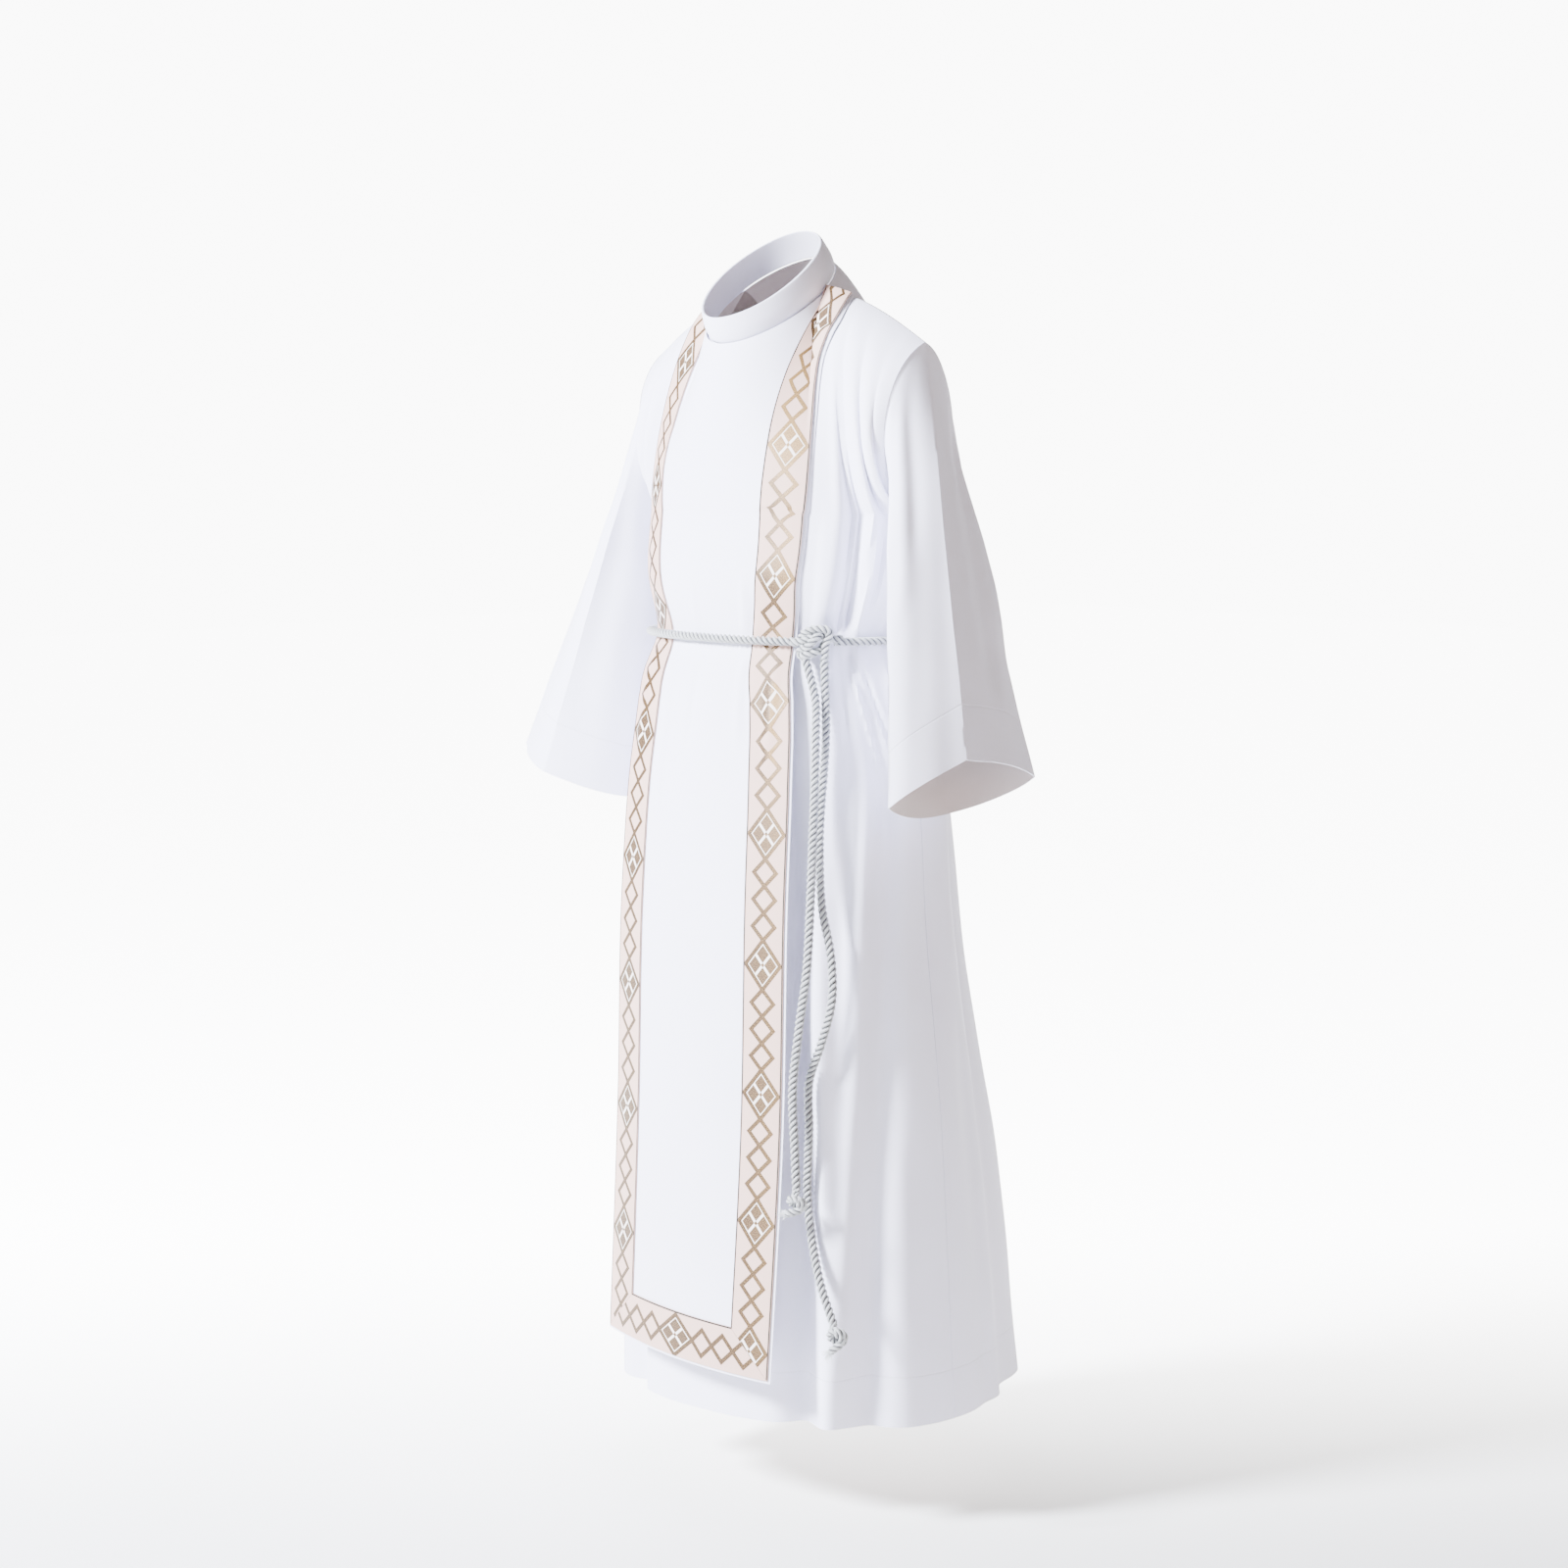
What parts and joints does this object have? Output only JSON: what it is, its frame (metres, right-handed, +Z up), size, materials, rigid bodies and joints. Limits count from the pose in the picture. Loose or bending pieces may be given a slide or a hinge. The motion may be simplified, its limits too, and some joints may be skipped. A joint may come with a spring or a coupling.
{
  "type": "first communion robe",
  "caption": "White ankle-length alb with wide sleeves and a turned-down collar, braid-edged front panel, and knotted rope belt, shown as worn.",
  "frame": {"origin": "centre of the neck opening at the height of the shoulder seams, where a wearer holds the robe up", "axes": "the robe faces -Y, the wearer's left is +X, +Z is up"},
  "size_m": [0.6622, 0.3905, 1.1708],
  "materials": {
    "white_cloth": "smooth matte polyester weave",
    "braid": "woven galloon with metallic thread",
    "cord": "twisted satin cord"
  },
  "bodies": {
    "root": {"front": "white_cloth", "back": "white_cloth", "sleeve_left": "white_cloth", "sleeve_right": "white_cloth", "collar": "white_cloth", "panel": "white_cloth", "trim_left": "braid", "trim_right": "braid", "trim_bottom": "braid", "cincture_waist": "cord", "cincture_knot": "cord", "tail_left": "cord", "tail_right": "cord", "end_knot_left": "cord", "end_knot_right": "cord"}
  },
  "joints": []
}
